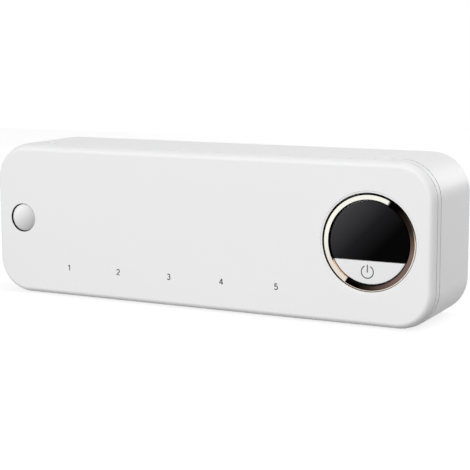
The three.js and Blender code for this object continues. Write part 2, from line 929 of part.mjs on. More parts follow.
// Motion sensor: a milky dome with a skirt and flange, the sensor can behind it and a small board
function crownPoints(radius, crown, rise) {
  const sphere = (radius * radius + rise * rise) / (2 * rise);
  const points = [];
  for (let k = 0; k <= crownSteps; k += 1) {
    const r = (radius * k) / crownSteps;
    points.push([r, crown + sphere - Math.sqrt(sphere * sphere - r * r)]);
  }
  return points;
}

function sensorLens() {
  const inner = lensRadius - lensWall;
  const back = bayCoverFront - gap;
  const profile = [
    ...crownPoints(lensRadius, lensCrown, lensRise),
    [lensRadius, back - lensFlangeThickness],
    [lensFlangeRadius, back - lensFlangeThickness],
    [lensFlangeRadius, back],
    [inner, back],
    ...crownPoints(inner, lensCrown + lensWall, lensRise).reverse(),
  ];
  return turned(profile, lensX, lensAbove, lensSteps);
}

const sensorBoardFront = bayCoverBack + 2 * gap;

function sensorCan() {
  const back = sensorBoardFront - gap;
  const near = back - canHeight;
  const profile = [
    [0, near],
    [canRadius - gap, near],
    [canRadius, near + gap],
    [canRadius, back],
    [0, back],
  ];
  return turned(profile, lensX, lensAbove);
}

function sensorBoard() {
  const far = sensorBoardFront + sensorBoardThickness;
  const half = sensorBoardWidth / 2;
  const low = lensAbove - sensorBoardHeight / 2;
  return block(lensX - half, lensX + half, sensorBoardFront, far, low, low + sensorBoardHeight);
}

// Rechargeable cell, upright in a cradle against the chamber's left wall
const cradleHalf = cellRadius + gap + cradleWall;
const cellX = chamberLeft - gap - cradleHalf;
const cellMiddle = bodyHeight / 2;

function powerCell() {
  const low = cellMiddle - cellLength / 2;
  const high = cellMiddle + cellLength / 2;
  const can = rodUpright(cellRadius, cellX, cellFromFront, low, high - cellCapHeight, 2 * roundSteps);
  const cap = rodUpright(cellCapRadius, cellX, cellFromFront, high - cellCapHeight - bite, high);
  return join(can, cap);
}

function cellCradle() {
  const low = cellMiddle - cradleLength / 2;
  const high = cellMiddle + cradleLength / 2;
  const near = cellFromFront - cradleLip;
  const far = cellFromFront + cradleHalf;
  const cradle = block(cellX - cradleHalf, cellX + cradleHalf, near, far, low, high);
  const bore = rodUpright(
    cellRadius + gap,
    cellX,
    cellFromFront,
    low - overrun,
    high + overrun,
    2 * roundSteps,
  );
  return cut(cradle, bore);
}

place("main_housing", housing(), whiteShell);
place("rear_cover", rearCover(), whiteShell);
place("front_cover_panel", coverPanel(), whiteShell, coverGroup);
place("front_cover_frame", coverFrame(), whiteShell, coverGroup);
place("chamber_liner", chamberLiner(), whiteInner);
place("reflector_sheet", reflector(), mirrorSheet);
place("brush_rack", brushRack(), whiteInner);
place("lamp_strip", lampStrip(), boardGreen);
place("lamp_window", lampWindow(), clearWindow);
place("left_bay_cover", leftBayCover(), whiteInner);
place("right_bay_cover", rightBayCover(), whiteInner);
place("display_ring", displayRing(), champagneMetal);
place("display_glass", discPart(chordAbove + chordGap / 2, bodyHeight), blackGlass);
place("display_module", displayModule(), darkPlastic);
place("power_button", powerButton(), whiteShell);
place("switch_plunger", switchPlunger(), darkPlastic);
place("switch_body", switchBody(), darkPlastic);
place("main_board", mainBoard(), boardGreen);
place("charging_socket", chargingSocket(), steel);
place("sensor_lens", sensorLens(), milkyLens);
place("sensor_can", sensorCan(), steel);
place("sensor_board", sensorBoard(), boardGreen);
place("power_cell", powerCell(), cellSleeve);
place("cell_cradle", cellCradle(), darkPlastic);

brushPlaces.forEach((x, k) => {
  const mesh = place(`lamp_emitter_${k + 1}`, emitter(), emitterGlass);
  mesh.position.set(x, front + lampFromFront, emitterBottom + emitterHeight / 2);
});

sides.forEach(([name, side]) => {
  const half = lugWidth / 2 + lugClearance + earWidth;
  const left = side * hingeFromMiddle - half;
  const pin = rodAlong(pinRadius, left, left + 2 * half, hingeDepth, hingeAbove);
  place(`hinge_pin_${name}`, pin, steel);
  const [x, above] = magnetPlaces[name];
  const magnet = disc(magnetRadius, x, above, magnetFront, magnetBack);
  place(`cover_magnet_${name}`, magnet, steel, coverGroup);
  const keeper = disc(magnetRadius, x, above, bayCoverFront, bayCoverFront + keeperThickness);
  place(`steel_keeper_${name}`, keeper, steel);
});

cornerPlaces().forEach(([x, above], k) => {
  place(`rear_screw_${k + 1}`, turned(screwProfile(0), x, above), steel);
});

export default assembly;
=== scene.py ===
"""Dressed model of an ultraviolet toothbrush sterilizer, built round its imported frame.

Lengths are in metres, in the frame's own axes: X along the length, the front faces -Y, Z is up.
"Depth" counts back from the front plane.
"""

import math
from functools import partial

import bmesh
import bpy
from mathutils import Matrix, Vector


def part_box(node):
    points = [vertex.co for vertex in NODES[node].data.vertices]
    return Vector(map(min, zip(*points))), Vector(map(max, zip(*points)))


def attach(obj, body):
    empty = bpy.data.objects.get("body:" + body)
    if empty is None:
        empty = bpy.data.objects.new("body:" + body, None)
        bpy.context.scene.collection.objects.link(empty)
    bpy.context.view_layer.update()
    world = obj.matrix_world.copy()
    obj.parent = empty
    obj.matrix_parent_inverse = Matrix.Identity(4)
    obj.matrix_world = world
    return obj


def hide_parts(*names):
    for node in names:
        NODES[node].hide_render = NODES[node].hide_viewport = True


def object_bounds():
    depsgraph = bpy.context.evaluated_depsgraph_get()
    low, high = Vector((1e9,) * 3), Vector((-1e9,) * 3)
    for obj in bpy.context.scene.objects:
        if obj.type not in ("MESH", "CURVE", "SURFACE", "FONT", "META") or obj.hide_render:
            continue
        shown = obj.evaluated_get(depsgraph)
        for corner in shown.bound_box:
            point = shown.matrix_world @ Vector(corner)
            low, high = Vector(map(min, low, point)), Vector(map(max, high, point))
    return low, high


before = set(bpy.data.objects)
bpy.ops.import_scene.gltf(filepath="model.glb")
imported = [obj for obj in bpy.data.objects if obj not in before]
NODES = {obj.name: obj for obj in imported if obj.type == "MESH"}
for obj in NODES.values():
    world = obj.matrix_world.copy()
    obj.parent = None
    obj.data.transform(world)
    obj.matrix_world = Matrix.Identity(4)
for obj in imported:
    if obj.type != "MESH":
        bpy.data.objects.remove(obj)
CAD_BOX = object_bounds()

bl_info = {
    "name": "Ultraviolet toothbrush sterilizer",
    "version": (1, 0, 0),
    "blender": (4, 5, 0),
    "location": "3D View > Sidebar > Sterilizer",
    "description": "Dresses the sterilizer's frame with visible pieces, finishes, light and camera",
    "category": "Object",
}

MM = 0.001
FRONT = CAD_BOX[0].y
LENGTH = CAD_BOX[1].x - CAD_BOX[0].x
HEIGHT = CAD_BOX[1].z - CAD_BOX[0].z

# The least gap between two pieces that would otherwise share a face
PAPER = 0.02 * MM

# Steps of the round forms, and of rounded edges by their size
CORNER_STEPS, EDGE_STEPS, MOUTH_STEPS, RING_STEPS, DISC_STEPS, LENS_STEPS = 20, 20, 128, 160, 72, 96
DOME_STEPS, POST_STEPS, SCREW_STEPS, SYMBOL_STEPS, BOW_STEPS = 14, 24, 48, 48, 14
LARGE_CURL_STEPS, MEDIUM_CURL_STEPS, SMALL_CURL_STEPS = 5, 4, 3

# Degrees between two faces from which their edge is shaded sharp, or bevelled in a carried part
PLAIN_CREASE, BEVEL_CREASE = 35, 28
CREASES = {
    "cover_panel_skin": 50,
    "display_ring_turned": 40,
    "display_glass_ground": 25,
    "power_button_face": 40,
    "sensor_lens_dome": 40,
}

# Carried parts: points nearer than this are merged, and so are faces flat within these degrees
WELD_DISTANCE = 2 * MM * MM
FLAT_WITHIN = 0.3
# How far large flat faces keep a flat shading beside their rounded edges
FLAT_FACE_WEIGHT = 100

# Softened edges of carried parts too thin or small for the cover's bevels
THIN_BEVEL, SOCKET_BEVEL, WINDOW_BEVEL = 0.05 * MM, 0.06 * MM, 0.1 * MM
SMALL_BEVEL, CELL_BEVEL = 0.15 * MM, 0.3 * MM

# Bottom and top of the power symbol's bar, in radii of its arc from its middle
SYMBOL_BAR = (-0.1, 1.15)

# Moulded plastic: size of the flow marks and how dark they are, strength of the grain
FLOW_MARKS, FLOW_SHADE, GRAIN_STRENGTH = 45 * MM, 0.985, 0.35
# Metal: how much its lines are drawn out, and how far their gloss varies
LINE_STRETCH, LINE_GLOSS = 0.03, 0.2
# Circuit board: spacing of the copper, how light it is, and where it ends and lacquer begins
COPPER_SPACING, COPPER_LIGHT, COPPER_TO, LACQUER_FROM = 3 * MM, 1.6, 0.06, 0.09
# Display glass and lens: where their painted reflection and painted shade start and end across
# them, in their radii
GLASS_REFLECTION_FROM, GLASS_REFLECTION_MIDDLE, GLASS_REFLECTION_TO = -0.4, 0.42, 1.35
LENS_SHADE_TO = 1.3

# Painted reflection round the ring's face and outer edge, and painted shade in its inner chamfer:
# tones at degrees up and round from its right
FACE_REFLECTION_TONES = [
    (-180, "ivory"), (-150, "champagne"), (-122, "champagne"), (-121, "black"), (-104, "black"),
    (-90, "umber"), (-75, "bronze"), (-50, "copper"), (-12, "copper"), (6, "bronze"),
    (18, "umber"), (50, "black"), (63, "black"), (64, "cream"), (160, "cream"), (180, "ivory"),
]
EDGE_REFLECTION_TONES = [
    (-180, "black"), (-128, "black"), (-118, "peach"), (-20, "cream"), (4, "peach"),
    (20, "bronze"), (45, "black"),
]
CHAMFER_SHADE_TONES = [
    (-180, "black"), (-158, "black"), (-153, "peach"), (-122, "peach"), (-121, "black"),
]

# Where the softboxes hang: degrees to the right of straight in front, and degrees up
SOFTBOXES = {"front": (0, 14), "top": (0, 88), "side": (90, 45), "rear": (150, 20)}
# The camera's place and film width, fitted to the outline in the photograph
CAMERA_PLACE = Vector((338.67, -653.51, 150.28)) * MM
FILM_WIDTH = 36


# Colours and user settings


def linear(hex_colour):
    """An sRGB hex colour as linear red, green, blue and alpha."""
    shares = [int(hex_colour[k : k + 2], 16) / 255 for k in (1, 3, 5)]
    curve = [s / 12.92 if s <= 0.04045 else ((s + 0.055) / 1.055) ** 2.4 for s in shares]
    return (*curve, 1.0)


def length(description, millimetres):
    """A length property that lacks its name. The next three functions are like this one."""
    choices = {"description": description, "default": millimetres * MM}
    return partial(bpy.props.FloatProperty, **choices, unit="LENGTH", precision=5)


def share(description, value):
    choices = {"description": description, "default": value}
    return partial(bpy.props.FloatProperty, **choices, precision=3)


def angle(description, degrees):
    choices = {"description": description, "default": math.radians(degrees)}
    return partial(bpy.props.FloatProperty, **choices, subtype="ANGLE")


def colour(description, hex_colour):
    choices = {"description": description, "default": linear(hex_colour)}
    return partial(bpy.props.FloatVectorProperty, **choices, size=4, subtype="COLOR")


def named(group):
    """Names each property of a group: its own key, in words."""
    for key, unnamed in group.__annotations__.items():
        group.__annotations__[key] = unnamed(name=key.replace("_", " ").capitalize())
    return group


@named
class CoverSizes(bpy.types.PropertyGroup):
    """Form of the front cover's outer panel."""

    corner_radius: length("Radius of the body's four corners", 20)
    edge_inset: length("How far the soft front edge draws in", 3.9)
    edge_depth: length("Depth at which the soft front edge ends", 9.4)
    seam_depth: length("Depth of the panel's back edge", 5)
    seam_rounding: length("Rounding of the panel's back edge", 0.15)
    wall: length("Wall of the panel's face", 2.2)
    lip: length("Width of the panel's back edge", 1.6)
    mouth_gap: length("Gap between the display ring and the cover's mouth", 1.4)
    lens_gap: length("Gap between the sensor lens and the cover", 0.45)
    mouth_rounding: length("Rounding of the ring's mouth", 0.35)
    lens_rounding: length("Rounding of the lens's mouth", 0.15)
    carried_bevel: length("Softened edges of the plain moulded parts", 0.25)
    rim_bevel: length("Softened edges of the cover's narrow frame", 0.2)
    # The two seals are black rubber that also paints the shade of the seams' gaps
    seal_inset: length("How far the two seals lie below the skin", 0.06)
    seal_width: length("Width of the two seals, inward", 1.2)
    panel_seal: length("Depth of the seal between panel and frame", 0.5)
    light_seal: length("Depth of the seal behind the cover's frame", 0.46)
    # The two dark linings are painted shade on the walls of the mouths
    lining: length("Wall of the dark lining in the lens's mouth", 0.12)
    ring_lining: length("Wall of the dark lining in the ring's mouth", 0.8)
    shade_lining_from: length("Depth at which the lens mouth's lining starts", 0.17)
    shade_lining_to: length("Depth at which the two linings end", 2.1)
    collar: length("How far the white collar narrows the ring's mouth", 0.95)
    collar_shift: length("How far the collar sits to the left, and up", 0.17)
    collar_from: length("Depth at which the collar begins", 0.3)
    collar_to: length("Depth at which the collar ends", 0.5)


@named
class DisplaySizes(bpy.types.PropertyGroup):
    """Form of the ring, glass and button."""

    ring_width: length("Width of the metal ring, with its chamfer", 3.2)
    ring_outer_bevel: length("Rounding of the ring's outer edge", 0.5)
    ring_fall: length("How far the ring's face falls towards its outer edge", 0.15)
    ring_inner_bevel: length("Rounding of the ring's inner edge", 0.1)
    # The chamfer's black is painted shade
    ring_chamfer: length("Width of the dark chamfer inside the ring", 0.45)
    ring_chamfer_depth: length("Depth of the dark chamfer", 0.95)
    glass_bevel: length("Ground edge of the glass", 0.25)
    button_bevel: length("Rounded edge of the button", 0.45)
    symbol_radius: length("Middle radius of the power symbol", 3.2)
    symbol_stroke: length("Line width of the power symbol", 0.58)
    symbol_proud: length("Thickness of the printed ink", 0.02)
    symbol_opening: angle("Half of the symbol's open angle", 27)
    symbol_above: length("Height of the symbol's middle", 28.5)
    symbol_aside: length("The symbol's middle, left of the ring's", 0.9)
    stem_radius: length("Radius of the button's stem", 2)
    stem_below: length("How far the stem lies below the ring's middle", 15)
    guide_radius: length("Radius of the button's guide pins", 1.25)
    guide_below: length("How far the guides lie below the ring's middle", 12.8)
    guide_spread: length("How far the guides lie to each side", 10)
    guide_length: length("Length of the guide pins", 7.6)


@named
class LensSizes(bpy.types.PropertyGroup):
    """Form of the motion sensor's lens."""

    radius: length("Radius of the lens", 7.55)
    rise: length("How far the middle stands before the rim", 1)
    wall: length("Wall of the lens", 1)
    flange: length("Thickness of the lens's flange", 1.3)


@named
class NumberSizes(bpy.types.PropertyGroup):
    """Form of the printed numbers."""

    height: length("Height of a printed number", 3.2)
    stroke: length("Line width of a printed number", 0.54)
    above: length("Height of the numbers' middle", 17)
    proud: length("Thickness of the printed ink", 0.02)


@named
class ScrewSizes(bpy.types.PropertyGroup):
    """Form of the four countersunk screws of the rear cover."""

    shank_radius: length("Radius of the shank", 1.2)
    tip: length("Chamfer at the screw's end", 0.3)
    head_height: length("Height of the countersunk head", 1.5)
    head_rounding: length("Rounded rim of the head", 0.12)
    drive_reach: length("Half of the cross recess, across", 1.5)
    drive_width: length("Width of an arm of the cross recess", 0.8)
    drive_depth: length("Depth of the cross recess", 1.1)
    drive_taper: share("Size of the recess's floor against its mouth", 0.6)
    drive_turn: angle("How far each screw is turned past the one before", 23)


@named
class Finishes(bpy.types.PropertyGroup):
    """Colours of the finishes, as named for the real ones; some also paint reflection and shade, as
    noted below.
    """

    shell: colour("White ABS of the shell", "#F0F0F0")
    inner: colour("White ABS of the chamber", "#E9EBEC")
    button: colour("White ABS of the button", "#ECECED")
    ink: colour("Grey printing ink", "#4C4C4C")
    symbol_ink: colour("Darker grey of the symbol", "#5E5E60")
    # The ring's colours below paint its reflection and shade by angle round it
    ring_cream: colour("Light part of the ring", "#F5F3E9")
    ring_ivory: colour("Light part of the ring on the left", "#EFEDE4")
    ring_champagne: colour("Lower left of the ring", "#E3D9CE")
    ring_umber: colour("Ends of the brown part", "#2C231E")
    ring_bronze: colour("Brown part of the ring", "#52453D")
    ring_copper: colour("Lightest of the brown part", "#76605A")
    ring_peach: colour("Bevel at the lower right", "#F6DEC8")
    ring_black: colour("Dark ends of the brown part", "#030202")
    # The glass's three colours paint a reflection across it, grey at the upper left to black at the
    # lower right
    glass_grey: colour("Upper left of the display glass", "#3F3F41")
    glass_mid: colour("Middle of the display glass", "#1B1B1D")
    glass_black: colour("Lower right of the display glass", "#010101")
    # This black also paints the shade in the seams and in the mouths
    seal: colour("Black rubber of the seals and linings", "#141414")
    # The lens's two colours paint shade across it, lighter at the upper left
    lens_light: colour("Upper left of the lens", "#FAFAFA")
    lens_dark: colour("Lower right of the lens", "#B2B2B2")
    steel: colour("Nickel-plated steel", "#A4A5A8")
    mirror: colour("Polished aluminium sheet", "#CDD1D5")
    window: colour("Clear window before the lamps", "#EEF4F8")
    emitter: colour("Lens of a lamp's emitter", "#CFC6E6")
    board: colour("Green circuit board", "#1D5A3C")
    dark: colour("Black moulded plastic", "#26282B")
    sleeve: colour("Shrink sleeve of the cell", "#5F8FB5")
    floor: colour("Matt studio floor as seen", "#989898")
    floor_bounce: colour("Light that the floor gives back to the object", "#989898")


@named
class StageSettings(bpy.types.PropertyGroup):
    """Light, floor and camera of the studio."""

    ambient: share("Strength of the even light from all round", 0.35)
    front_power: share("Watts of the wide softbox in front", 18.8)
    top_power: share("Watts of the softbox above", 3.3)
    side_power: share("Watts of the high softbox on the right", 3.9)
    rear_power: share("Watts of the softbox behind on the right", 8.5)
    lamp_distance: length("How far the softboxes stand off", 1600)
    lamp_width: length("Width of the softboxes", 900)
    lamp_height: length("Height of the softboxes", 900)
    front_width: length("Width of the softbox in front", 1600)
    front_height: length("Height of the softbox in front", 800)
    floor_lift: share("Plain white added to the floor that the camera sees", 0.8)
    floor_gap: length("How far the floor lies below the underside", 0.1)
    floor_size: length("Side of the floor", 2000)
    lens_millimetres: share("Focal length on a 36 mm wide film", 104.65)
    camera_yaw: angle("Turn of the camera to the left", 26.87)
    camera_pitch: angle("How far the camera looks down", 8.752)
    camera_roll: angle("Tilt of the camera", -0.128)


GROUPS = {
    "cover": CoverSizes,
    "display": DisplaySizes,
    "lens": LensSizes,
    "numbers": NumberSizes,
    "screws": ScrewSizes,
    "finishes": Finishes,
    "stage": StageSettings,
}


def settings(name):
    return getattr(bpy.context.scene, "sterilizer_" + name)


# Materials


def cleared_tree(owner):
    """The emptied node tree of a material or world."""
    owner.use_nodes = True
    owner.node_tree.nodes.clear()
    return owner.node_tree


def add_node(tree, kind, sockets=None, **choices):
    """Adds a node: choices are its own settings, sockets the links or values of its inputs."""
    made = tree.nodes.new("ShaderNode" + kind)
    for name, value in choices.items():
        setattr(made, name, value)
    for socket, value in (sockets or {}).items():
        if isinstance(value, bpy.types.NodeSocket):
            tree.links.new(value, made.inputs[socket])
        else:
            made.inputs[socket].default_value = value
    return made


def new_material(name):
    material = bpy.data.materials.new(name)
    return material, cleared_tree(material)


def finished(material, sockets):
    """Gives a material its one Principled shader, with the given values and links."""
    tree = material.node_tree
    shader = add_node(tree, "BsdfPrincipled", sockets)
    add_node(tree, "OutputMaterial", {"Surface": shader.outputs["BSDF"]})
    return material


def object_place(tree):
    return add_node(tree, "TexCoord").outputs["Object"]


def noise(tree, place, size, detail=2.0):
    """Soft random patches of a given size, from 0 to 1."""
    sockets = {"Scale": 1 / size, "Detail": detail, "Vector": place}
    return add_node(tree, "TexNoise", sockets).outputs["Fac"]


def onto_range(tree, share_of, low, high):
    """Turns a share from 0 to 1 into a value from low to high."""
    sockets = {"To Min": low, "To Max": high, "Value": share_of}
    return add_node(tree, "MapRange", sockets).outputs["Result"]


def share_of_range(tree, value, low, high):
    """Turns a value from low to high into a share from 0 to 1."""
    sockets = {"From Min": low, "From Max": high, "Value": value}
    return add_node(tree, "MapRange", sockets).outputs["Result"]


def calculate(tree, operation, first, second):
    sockets = {0: first, 1: second}
    return add_node(tree, "Math", sockets, operation=operation).outputs["Value"]


def mix_colours(tree, factor, first, second):
    """A colour between two. On the Mix node, colours are inputs 6 and 7, and output 2."""
    sockets = {0: factor, 6: first, 7: second}
    return add_node(tree, "Mix", sockets, data_type="RGBA").outputs[2]


def times(tint, factor):
    """A lighter or darker version of a colour."""
    return tuple(min(1.0, c * factor) for c in tint[:3]) + (1.0,)


def colour_ramp(tree, factor, stops):
    """A colour ramp through the given stops of place and colour."""
    ramp = add_node(tree, "ValToRGB", {"Fac": factor})
    elements = ramp.color_ramp.elements
    while len(elements) > 1:
        elements.remove(elements[-1])
    elements[0].position, elements[0].color = stops[0]
    for place, tint in stops[1:]:
        elements.new(place).color = tint
    return ramp.outputs["Color"]


def relief_of(tree, height, strength, distance):
    """The normal of unevenness too fine to be modelled."""
    sockets = {"Height": height, "Strength": strength, "Distance": distance}
    return add_node(tree, "Bump", sockets).outputs["Normal"]


def moulded(name, tint, specular, grain, relief, roughness, spread, ior=1.53):
    """Fine grain of the mould, and the faint flow of the plastic in colour and gloss."""
    material, tree = new_material(name)
    place = object_place(tree)
    flow = noise(tree, place, FLOW_MARKS)
    grains = noise(tree, place, grain, detail=3.0)
    sockets = {
        "Base Color": mix_colours(tree, flow, times(tint, FLOW_SHADE), tint),
        "Roughness": onto_range(tree, flow, roughness - spread, roughness + spread),
        "Normal": relief_of(tree, grains, GRAIN_STRENGTH, relief),
        "IOR": ior,
        "Specular IOR Level": specular,
    }
    return finished(material, sockets)


def satin_moulded_abs(name, tint):
    """ABS moulded in a lightly blasted mould: even white, a broad soft highlight."""
    return moulded(
        name, tint, specular=0.12, grain=0.9 * MM, relief=0.004 * MM, roughness=0.36, spread=0.03
    )


def matt_moulded_abs(name, tint):
    """ABS moulded in a spark-worn mould: matt, with a grain that just shows."""
    return moulded(
        name, tint, specular=0.35, grain=0.7 * MM, relief=0.012 * MM, roughness=0.55, spread=0.05
    )


def black_moulded_plastic(name, tint):
    """Black nylon as moulded: dull, with a fine grain."""
    return moulded(
        name, tint, specular=0.4, grain=0.6 * MM, relief=0.015 * MM, roughness=0.5, spread=0.06
    )


def black_rubber(name, tint):
    """Moulded black silicone rubber: dull and dusty."""
    return moulded(
        name,
        tint,
        specular=0.2,
        grain=0.5 * MM,
        relief=0.01 * MM,
        roughness=0.7,
        spread=0.05,
        ior=1.41,
    )


def offset_from(tree, centre):
    """Place on the object, counted from a centre: its X, Y and Z."""
    sockets = {0: object_place(tree), 1: centre}
    moved = add_node(tree, "VectorMath", sockets, operation="SUBTRACT").outputs["Vector"]
    return add_node(tree, "SeparateXYZ", {"Vector": moved}).outputs


def tones_across(tree, centre, axes, low, high, tones):
    """Tones that change with the difference between a place's two axes, from low to high."""
    place = offset_from(tree, centre)
    lean = calculate(tree, "SUBTRACT", place[axes[0]], place[axes[1]])
    return colour_ramp(tree, share_of_range(tree, lean, low, high), tones)


def tones_round(tree, share_round, tones):
    """The ring's tones, given at angles from -180 to 180 degrees."""
    tints = settings("finishes")
    stops = [((turn + 180) / 360, getattr(tints, "ring_" + tone)) for turn, tone in tones]
    return colour_ramp(tree, share_round, stops)


def ring_painted_reflection(centre, edge_from, chamfer_to):
    """Turned, polished champagne metal ring, with its reflection painted round it by angle: cream
    and ivory at the upper left, black, umber and bronze at the lower right.

    Its bevelled outer edge, from the radius edge_from on, has the painted reflection the other way
    round.
    Its inner chamfer, within the radius chamfer_to, is painted black as shade, with a painted peach
    reflection at its lower left.
    """
    material, tree = new_material("champagne_anodised_aluminium")
    place = offset_from(tree, centre)
    turn = calculate(tree, "ARCTAN2", place["Z"], place["X"])
    share_round = share_of_range(tree, turn, -math.pi, math.pi)
    face = tones_round(tree, share_round, FACE_REFLECTION_TONES)
    edge = tones_round(tree, share_round, EDGE_REFLECTION_TONES)
    chamfer = tones_round(tree, share_round, CHAMFER_SHADE_TONES)
    flat = add_node(tree, "CombineXYZ", {"X": place["X"], "Z": place["Z"]})
    out = add_node(tree, "VectorMath", {0: flat.outputs["Vector"]}, operation="LENGTH")
    reach = out.outputs["Value"]
    on_edge = calculate(tree, "GREATER_THAN", reach, edge_from)
    on_chamfer = calculate(tree, "LESS_THAN", reach, chamfer_to)
    whole = mix_colours(tree, on_chamfer, mix_colours(tree, on_edge, face, edge), chamfer)
    return finished(material, {"Base Color": whole, "Metallic": 1.0, "Roughness": 0.22})


def printed_glass(centre, radius):
    """Polished glass printed black behind, deep, with a reflection painted across it: a faint grey
    at the upper left, fading to black at the lower right.
    """
    tints = settings("finishes")
    material, tree = new_material("black_printed_glass")
    tones = [(0.0, tints.glass_black), (GLASS_REFLECTION_MIDDLE, tints.glass_mid), (1.0, tints.glass_grey)]
    low, high = radius * GLASS_REFLECTION_FROM, radius * GLASS_REFLECTION_TO
    painted_reflection = tones_across(tree, centre, "ZX", low, high, tones)
    return finished(
        material, {"Base Color": painted_reflection, "Roughness": 0.06, "IOR": 1.52, "Specular IOR Level": 0.02}
    )


def milky_polyethylene(centre, radius):
    """Moulded milky polyethylene: soft and cloudy, with shade painted across it: lighter at its
    upper left, darker at its lower right.
    """
    tints = settings("finishes")
    material, tree = new_material("milky_polyethylene")
    tones = [(0.0, tints.lens_light), (1.0, tints.lens_dark)]
    painted_shade = tones_across(tree, centre, "XZ", -radius, radius * LENS_SHADE_TO, tones)
    return finished(
        material, {"Base Color": painted_shade, "Roughness": 0.42, "IOR": 1.51, "Specular IOR Level": 0.4}
    )


def printed_ink(name, tint):
    """Pad-printed ink: a dull even grey film."""
    material, tree = new_material(name)
    speckle = noise(tree, object_place(tree), size=0.4 * MM)
    film = mix_colours(tree, speckle, tint, times(tint, factor=1.12))
    return finished(
        material, {"Base Color": film, "Roughness": 0.6, "IOR": 1.5, "Specular IOR Level": 0.3}
    )


def drawn_metal(name, tint, roughness, line_spacing):
    """Rolled or plated metal: fine lines along the length, seen as a change of gloss."""
    material, tree = new_material(name)
    sockets = {"Scale": (LINE_STRETCH, 1.0, 1.0), "Vector": object_place(tree)}
    stretched = add_node(tree, "Mapping", sockets).outputs["Vector"]
    lines = noise(tree, stretched, line_spacing)
    gloss = onto_range(tree, lines, roughness * (1 - LINE_GLOSS), roughness * (1 + LINE_GLOSS))
    return finished(material, {"Base Color": tint, "Metallic": 1.0, "Roughness": gloss})


def clear_glass(name, tint):
    """Fused quartz: clear, polished, hardly tinted, with a trace of haze."""
    material, tree = new_material(name)
    haze = noise(tree, object_place(tree), size=20 * MM)
    sockets = {
        "Base Color": tint,
        "Roughness": onto_range(tree, haze, low=0.03, high=0.1),
        "IOR": 1.46,
        "Transmission Weight": 0.9,
    }
    return finished(material, sockets)


def circuit_board(name, tint):
    """Green lacquer over woven glass: glossy, with the weave and copper just showing."""
    material, tree = new_material(name)
    sockets = {"Scale": 1 / COPPER_SPACING, "Vector": object_place(tree)}
    copper = add_node(tree, "TexVoronoi", sockets, feature="DISTANCE_TO_EDGE")
    light = times(tint, COPPER_LIGHT)
    tones = [(0.0, light), (COPPER_TO, light), (LACQUER_FROM, tint)]
    tracks = colour_ramp(tree, copper.outputs["Distance"], tones)
    return finished(
        material, {"Base Color": tracks, "Roughness": 0.32, "IOR": 1.5, "Specular IOR Level": 0.45}
    )


def shrink_sleeve(name, tint):
    """Shrunk vinyl film: glossy, with faint ripples round the cell."""
    material, tree = new_material(name)
    ripple = noise(tree, object_place(tree), size=6 * MM)
    sockets = {
        "Base Color": tint,
        "Roughness": 0.28,
        "Normal": relief_of(tree, ripple, strength=0.3, distance=0.1 * MM),
        "IOR": 1.53,
        "Specular IOR Level": 0.45,
    }
    return finished(material, sockets)


def shell_plastic():
    """The white finish that all pieces of the shell share."""
    name = "shell_abs_satin"
    return bpy.data.materials.get(name) or satin_moulded_abs(name, settings("finishes").shell)


# Mesh helpers


def arc(x, z, wide, high, start, sweep, steps):
    """Points of part of an ellipse, seen from the front, with both its ends."""
    turns = [start + sweep * k / steps for k in range(steps + 1)]
    return [(x + wide * math.cos(t), z + high * math.sin(t)) for t in turns]


def circle(centre, radius, steps):
    return arc(centre.x, centre.z, radius, radius, 0, 2 * math.pi, steps)[:-1]


def body_outline(inset):
    """Points of the body's outline seen from the front, drawn in by an inset."""
    radius = settings("cover").corner_radius
    across, top = LENGTH / 2 - radius, HEIGHT - radius
    middles = [(across, radius), (across, top), (-across, top), (-across, radius)]
    reach, quarter = radius - inset, math.pi / 2
    points = []
    for k, (x, z) in enumerate(middles):
        points += arc(x, z, reach, reach, quarter * (k - 1), quarter, CORNER_STEPS)
    return points


def add_ring(bm, outline, depth):
    return [bm.verts.new((x, FRONT + depth, z)) for x, z in outline]


def add_skin(bm, rings):
    """Faces between each ring of vertices and the next."""
    for near, far in zip(rings, rings[1:]):
        for k, vert in enumerate(near):
            n = (k + 1) % len(near)
            bm.faces.new((vert, near[n], far[n], far[k]))


def add_cap(bm, rings):
    """A flat face that fills the outer ring and leaves the others open as holes."""
    edges = []
    for ring in rings:
        for k, vert in enumerate(ring):
            edges.append(bm.edges.get((vert, ring[(k + 1) % len(ring)])))
    bmesh.ops.triangle_fill(bm, edges=edges, use_beauty=True, normal=(0.0, -1.0, 0.0))


def lathe(bm, centre, profile, steps):
    """A profile of radius and depth, turned about an axis on which both its ends lie."""
    first = bm.verts.new((centre.x, FRONT + profile[0][1], centre.z))
    rings = [add_ring(bm, circle(centre, radius, steps), depth) for radius, depth in profile[1:-1]]
    last = bm.verts.new((centre.x, FRONT + profile[-1][1], centre.z))
    neighbours = [(k, (k + 1) % steps) for k in range(steps)]
    for k, n in neighbours:
        bm.faces.new((first, rings[0][n], rings[0][k]))
    add_skin(bm, rings)
    for k, n in neighbours:
        bm.faces.new((rings[-1][k], rings[-1][n], last))


def rounding(radius, depth, size, steps, outward):
    """Quarter round between a flat face at a depth and a wall at a radius."""
    points = []
    for k in range(steps + 1):
        turn = math.pi / 2 * k / steps
        sideways = size * (1 - math.sin(turn))
        points.append((radius - outward * sideways, depth + size * (1 - math.cos(turn))))
    return points


def link(made):
    bpy.context.scene.collection.objects.link(made)


def add_modifier(piece, kind, **choices):
    made = piece.modifiers.new(kind.lower(), kind)
    for name, value in choices.items():
        setattr(made, name, value)


